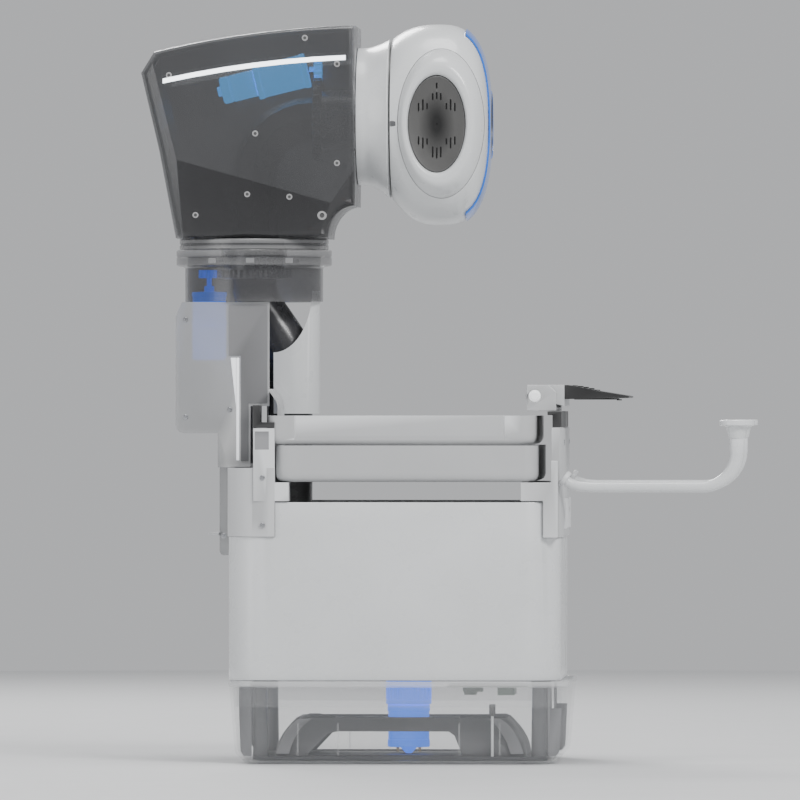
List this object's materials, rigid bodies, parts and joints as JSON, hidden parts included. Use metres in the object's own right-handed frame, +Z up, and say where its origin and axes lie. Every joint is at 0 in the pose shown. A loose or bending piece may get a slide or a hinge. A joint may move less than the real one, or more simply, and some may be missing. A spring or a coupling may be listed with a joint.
{
  "type": "table tennis serving robot",
  "caption": "Table-tennis ball robot: ball bucket on a clear base, tray, column with delivery tube, panning neck, rolling throwing head, fold-up table ramp and under-table support arms.",
  "frame": {"origin": "centre of the base pan's flat underside", "axes": "+X from the column toward the table and the ball exit, +Y across the robot, +Z up"},
  "size_m": [0.6118, 0.3, 0.7354],
  "materials": {
    "clear": "clear frosted polycarbonate",
    "white": "satin white moulded plastic",
    "grey": "light grey moulded plastic",
    "dark": "dark grey plastic",
    "black": "black plastic",
    "smoke": "smoked translucent plastic",
    "motor_blue": "blue gear motor",
    "panel_blue": "blue gloss panel",
    "light": "white light diffuser",
    "steel": "machined steel",
    "rubber": "black rubber",
    "board": "green circuit board"
  },
  "bodies": {
    "base": {"base_pan": "clear", "bucket_floor": "grey", "bucket_shell": "white", "column_cover": "white", "column_spine": "dark", "control_board": "board", "delivery_tube": "dark", "feed_gearbox": "motor_blue", "feed_motor_can": "motor_blue", "front_bracket": "grey", "front_seal": "black", "front_shield": "white", "hinge_block": "grey", "motor_bracket": "grey", "neck_drum": "smoke", "pan_gearbox": "motor_blue", "pan_motor_can": "motor_blue", "ramp_pin": "white", "rear_bracket": "grey", "rear_seal_far": "black", "rear_seal_near": "black", "support_arm_far": "white", "support_arm_near": "white", "support_foot_far": "white", "support_foot_near": "white", "tray_bowl": "white", "tray_rim": "white", "underframe": "dark"},
    "feed": {"feed_wheel": "grey"},
    "pan_drive": {"pan_pinion": "motor_blue"},
    "turntable": {"ball_sensor": "black", "bearing_plate": "dark", "housing_far": "smoke", "housing_near": "smoke", "inner_chute": "dark", "light_strip_far": "light", "light_strip_near": "light", "neck_cone": "white", "pan_ring_gear": "steel", "roll_gearbox": "motor_blue", "roll_motor_can": "motor_blue", "turntable_collar": "smoke"},
    "roll_drive": {"roll_pinion": "motor_blue"},
    "head": {"front_panel": "panel_blue", "head_shell_far": "white", "head_shell_near": "white", "motor_plate": "steel", "nozzle_ring": "black", "roll_gear": "steel", "side_pod_far": "white", "side_pod_near": "white", "side_vent_far": "dark", "side_vent_near": "dark", "wheel_motor_lower": "dark", "wheel_motor_upper": "dark"},
    "upper_launch": {"launch_wheel_upper": "rubber"},
    "lower_launch": {"launch_wheel_lower": "rubber"},
    "ramp": {"ramp_carrier": "grey", "ramp_plate": "black"}
  },
  "joints": [
    {"name": "pan", "type": "hinge", "parent": "base", "child": "turntable", "pos_m": [-0.15, 0, 0.51], "axis": [0, 0, 1], "range_deg": [-45, 45]},
    {"name": "pan_pinion_spin", "type": "hinge", "parent": "base", "child": "pan_drive", "pos_m": [-0.195, 0, 0.486], "axis": [0, 0, 1], "range_deg": [-185, 185]},
    {"name": "roll", "type": "hinge", "parent": "turntable", "child": "head", "pos_m": [-0.011, 0, 0.6408], "axis": [1, 0, 0], "range_deg": [-90, 90]},
    {"name": "roll_pinion_spin", "type": "hinge", "parent": "turntable", "child": "roll_drive", "pos_m": [-0.086, 0, 0.6908], "axis": [1, 0, 0], "range_deg": [-365, 365]},
    {"name": "feed_spin", "type": "hinge", "parent": "base", "child": "feed", "pos_m": [0.0048, 0, 0.0888], "axis": [0, 0, 1], "continuous": true},
    {"name": "upper_wheel_spin", "type": "hinge", "parent": "head", "child": "upper_launch", "pos_m": [0.036, 0, 0.6917], "axis": [0, 1, 0], "continuous": true},
    {"name": "lower_wheel_spin", "type": "hinge", "parent": "head", "child": "lower_launch", "pos_m": [0.036, 0, 0.5843], "axis": [0, 1, 0], "continuous": true},
    {"name": "ramp_fold", "type": "hinge", "parent": "base", "child": "ramp", "pos_m": [0.1338, 0, 0.364], "axis": [0, -1, 0], "range_deg": [0, 100]}
  ],
  "couplings": [
    {"joint": "pan_pinion_spin", "follows": "pan", "ratio": -4},
    {"joint": "roll_pinion_spin", "follows": "roll", "ratio": -4}
  ]
}
